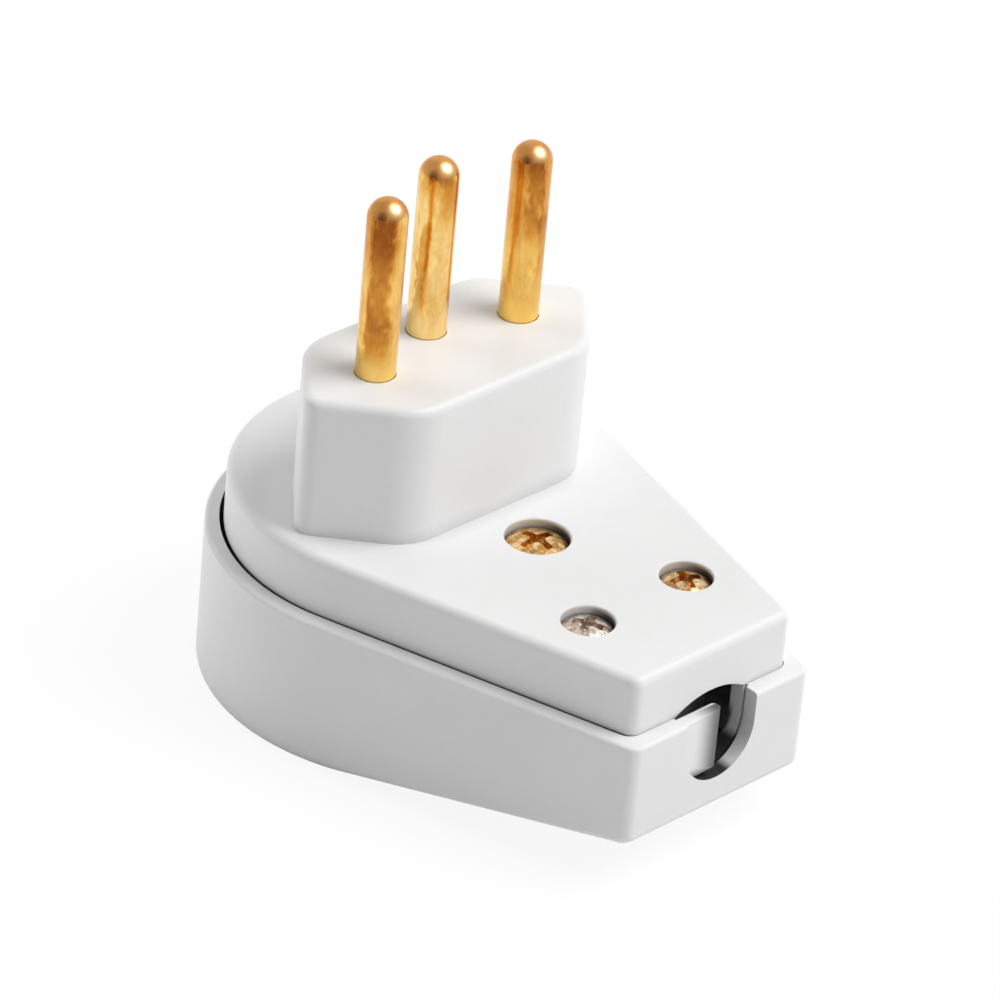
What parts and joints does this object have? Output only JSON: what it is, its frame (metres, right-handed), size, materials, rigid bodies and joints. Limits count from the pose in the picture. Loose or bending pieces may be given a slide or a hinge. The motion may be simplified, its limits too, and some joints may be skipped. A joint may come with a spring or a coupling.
{
  "type": "right-angle three-pin plug",
  "caption": "Rewirable right-angle mains plug: white moulded casing closed by recessed screws, round brass pins on a hexagonal block, and a cable mouth in the square end.",
  "frame": {"origin": "middle of the bounding box, on the plane of the flat back", "axes": "+Z along the pins, from the flat back to the tips; +X towards the cable mouth; +Y towards the neutral pin"},
  "size_m": [0.0626, 0.0444, 0.0558],
  "materials": {
    "casing": "white, satin, smooth moulded",
    "pin_brass": "polished, with amber streaks",
    "screw_plating": "yellow plated, bright",
    "terminal_steel": "plain, turned"
  },
  "bodies": {
    "root": {"front_shell": "casing", "rear_shell": "casing", "line_pin": "pin_brass", "neutral_pin": "pin_brass", "earth_pin": "pin_brass", "line_terminal_screw": "terminal_steel", "neutral_terminal_screw": "terminal_steel", "earth_terminal_screw": "terminal_steel", "body_screw": "screw_plating", "left_end_screw": "screw_plating", "right_end_screw": "screw_plating"}
  },
  "joints": []
}
